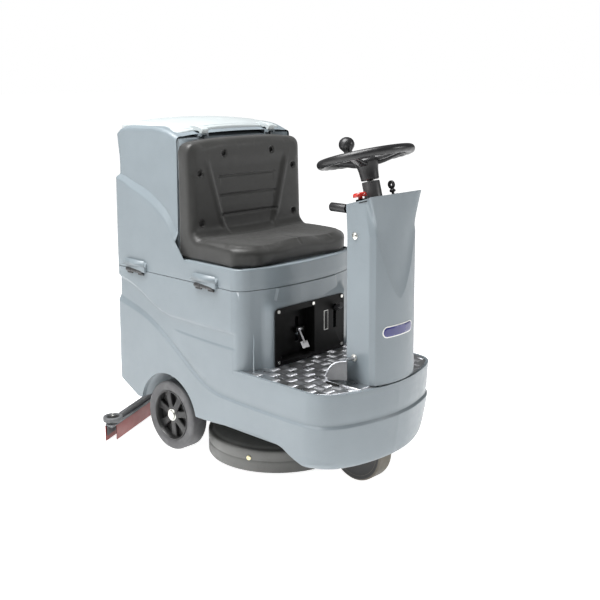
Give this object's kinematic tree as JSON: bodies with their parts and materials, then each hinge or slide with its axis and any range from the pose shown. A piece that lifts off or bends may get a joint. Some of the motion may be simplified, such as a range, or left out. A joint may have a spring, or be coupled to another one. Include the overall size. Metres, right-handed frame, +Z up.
{
  "type": "ride-on floor scrubber",
  "caption": "Compact ride-on floor scrubber: seat over a tilting recovery tank, footplate apron, steering column, disc brush deck, rear squeegee, front drive wheel.",
  "frame": {"origin": "on the floor, under the centre of the whole machine's bounding box", "axes": "+X is the direction of travel, +Y the driver's left, +Z up"},
  "size_m": [1.1532, 0.748, 1.112],
  "materials": {
    "body_grey": "satin moulded plastic",
    "lid_white": "satin moulded plastic",
    "seat_skin": "soft integral skin foam",
    "frame_black": "semi-gloss paint",
    "zinc_steel": "zinc plated",
    "tread_plate": "bright tread plate",
    "tyre_grey": "solid rubber",
    "tyre_tan": "polyurethane",
    "rim_black": "moulded nylon",
    "panel_black": "fine texture",
    "grip_black": "semi-gloss",
    "deck_black": "moulded plastic",
    "skirt_bolt": "plated",
    "bristle": "nylon filament",
    "blade_red": "polyurethane",
    "roller_grey": "soft bumper wheel",
    "stop_red": "gloss",
    "label_white": "printed film, blank",
    "badge_blue": "blank capsule badge",
    "battery_case": "moulded case",
    "motor_paint": "satin paint",
    "gear_steel": "machined",
    "gauge_glass": "clear lens over a blank dial"
  },
  "bodies": {
    "chassis": {"chassis_frame": "frame_black", "lower_body": "body_grey", "footplate": "tread_plate", "filler_cap": "panel_black", "squeegee_pivot": "zinc_steel", "rear_axle": "zinc_steel", "steering_bearings": "gear_steel", "batteries": "battery_case", "motor_controller": "motor_paint", "charge_socket": "panel_black", "control_panel": "panel_black", "cover_bolts": "zinc_steel", "panel_label": "label_white", "column_cover": "body_grey", "column_rear_cover": "panel_black", "column_frame": "frame_black", "column_badge": "badge_blue", "dash_panel": "panel_black", "column_tube": "frame_black", "tank_hinge_pins": "frame_black", "estop_base": "panel_black", "key_switch": "panel_black", "battery_gauge": "gauge_glass"},
    "recovery_unit": {"recovery_tank": "body_grey", "tank_hinge_straps": "frame_black", "seat": "seat_skin", "seat_bolts": "panel_black", "suction_motor": "motor_paint", "float_filter": "panel_black"},
    "lid": {"tank_lid": "lid_white"},
    "steering_wheel_unit": {"steering_shaft": "zinc_steel", "steering_wheel": "grip_black", "steering_hub_cap": "grip_black"},
    "knob": {"spinner_knob": "grip_black"},
    "pinion": {"pinion_shaft": "gear_steel"},
    "drive_unit": {"drive_fork": "frame_black", "steering_gear": "gear_steel", "drive_axle": "zinc_steel", "drive_motor": "motor_paint"},
    "drive_wheel": {"drive_rim": "rim_black", "drive_tyre": "tyre_tan"},
    "rear_wheel_left": {"rear_rim_left": "rim_black", "rear_tyre_left": "tyre_grey"},
    "rear_wheel_right": {"rear_rim_right": "rim_black", "rear_tyre_right": "tyre_grey"},
    "deck": {"brush_deck": "deck_black", "deck_bolts": "skirt_bolt", "brush_motor": "motor_paint"},
    "brush": {"brush_disc": "deck_black", "brush_bristles": "bristle"},
    "squeegee": {"squeegee_frame": "roller_grey", "squeegee_blades": "blade_red"},
    "roller_left": {"squeegee_roller_left": "roller_grey"},
    "roller_right": {"squeegee_roller_right": "roller_grey"},
    "pedal": {"accelerator_pedal": "tread_plate"},
    "selector": {"direction_lever": "grip_black"},
    "deck_hand_lever": {"deck_lever": "grip_black"},
    "squeegee_foot_lever": {"squeegee_lever": "zinc_steel"},
    "stop_button": {"emergency_button": "stop_red"},
    "key": {"ignition_key": "grip_black"}
  },
  "joints": [
    {"name": "drive_steer", "type": "hinge", "parent": "chassis", "child": "drive_unit", "pos_m": [0.421, 0, 0.27], "axis": [0, 0, 1], "range_deg": [-55, 55]},
    {"name": "steering_turn", "type": "hinge", "parent": "chassis", "child": "steering_wheel_unit", "pos_m": [0.4645, 0, 0.905], "axis": [-0.2588, 0, 0.9659], "range_deg": [-165, 165]},
    {"name": "pinion_turn", "type": "hinge", "parent": "chassis", "child": "pinion", "pos_m": [0.499, 0, 0.292], "axis": [0, 0, 1], "range_deg": [-165, 165]},
    {"name": "knob_spin", "type": "hinge", "parent": "steering_wheel_unit", "child": "knob", "pos_m": [0.30776, 0.06084, 1.02865], "axis": [-0.2588, 0, 0.9659], "continuous": true},
    {"name": "drive_wheel_spin", "type": "hinge", "parent": "drive_unit", "child": "drive_wheel", "pos_m": [0.421, 0, 0.104], "axis": [0, 1, 0], "continuous": true},
    {"name": "rear_left_spin", "type": "hinge", "parent": "chassis", "child": "rear_wheel_left", "pos_m": [-0.2035, 0.229, 0.117], "axis": [0, 1, 0], "continuous": true},
    {"name": "rear_right_spin", "type": "hinge", "parent": "chassis", "child": "rear_wheel_right", "pos_m": [-0.2035, -0.229, 0.117], "axis": [0, 1, 0], "continuous": true},
    {"name": "tank_tilt", "type": "hinge", "parent": "chassis", "child": "recovery_unit", "pos_m": [-0.18, -0.274, 0.597], "axis": [1, 0, 0], "range_deg": [0, 75]},
    {"name": "lid_open", "type": "hinge", "parent": "recovery_unit", "child": "lid", "pos_m": [-0.136, 0, 1.077], "axis": [0, 1, 0], "range_deg": [0, 85]},
    {"name": "deck_lift", "type": "slide", "parent": "chassis", "child": "deck", "axis": [0, 0, 1], "range_m": [0, 0.035]},
    {"name": "deck_lever_turn", "type": "hinge", "parent": "chassis", "child": "deck_hand_lever", "pos_m": [0.166, 0.115, 0.465], "axis": [0, 1, 0], "range_deg": [0, 45]},
    {"name": "brush_spin", "type": "hinge", "parent": "deck", "child": "brush", "pos_m": [0.06, 0, 0.06], "axis": [0, 0, 1], "continuous": true},
    {"name": "squeegee_lift", "type": "hinge", "parent": "chassis", "child": "squeegee", "pos_m": [-0.335, 0, 0.18], "axis": [0, 1, 0], "range_deg": [0, 12]},
    {"name": "squeegee_lever_press", "type": "hinge", "parent": "chassis", "child": "squeegee_foot_lever", "pos_m": [0.172, -0.022, 0.44], "axis": [0, 1, 0], "range_deg": [0, 24]},
    {"name": "roller_left_spin", "type": "hinge", "parent": "squeegee", "child": "roller_left", "pos_m": [-0.424, 0.34, 0.073], "axis": [0, 0, 1], "continuous": true},
    {"name": "roller_right_spin", "type": "hinge", "parent": "squeegee", "child": "roller_right", "pos_m": [-0.424, -0.34, 0.073], "axis": [0, 0, 1], "continuous": true},
    {"name": "pedal_press", "type": "hinge", "parent": "chassis", "child": "pedal", "pos_m": [0.416, -0.13, 0.357], "axis": [0, 1, 0], "range_deg": [0, 10], "stiffness_Nm_per_rad": 8, "springref_deg": -6.88},
    {"name": "selector_swing", "type": "hinge", "parent": "chassis", "child": "selector", "pos_m": [0.472, -0.087, 0.87], "axis": [0, 0, 1], "range_deg": [-12, 12]},
    {"name": "stop_press", "type": "slide", "parent": "chassis", "child": "stop_button", "axis": [0.2588, 0, -0.9659], "range_m": [0, 0.005], "stiffness_N_per_m": 1500, "springref_m": -0.003},
    {"name": "key_turn", "type": "hinge", "parent": "chassis", "child": "key", "pos_m": [0.50121, 0.048, 0.91483], "axis": [-0.2588, 0, 0.9659], "range_deg": [0, 90]}
  ],
  "couplings": [
    {"joint": "steering_turn", "follows": "drive_steer", "ratio": -3},
    {"joint": "pinion_turn", "follows": "drive_steer", "ratio": -3},
    {"joint": "deck_lever_turn", "follows": "deck_lift", "rad_per_m": 22.439},
    {"joint": "squeegee_lever_press", "follows": "squeegee_lift", "ratio": 2}
  ]
}
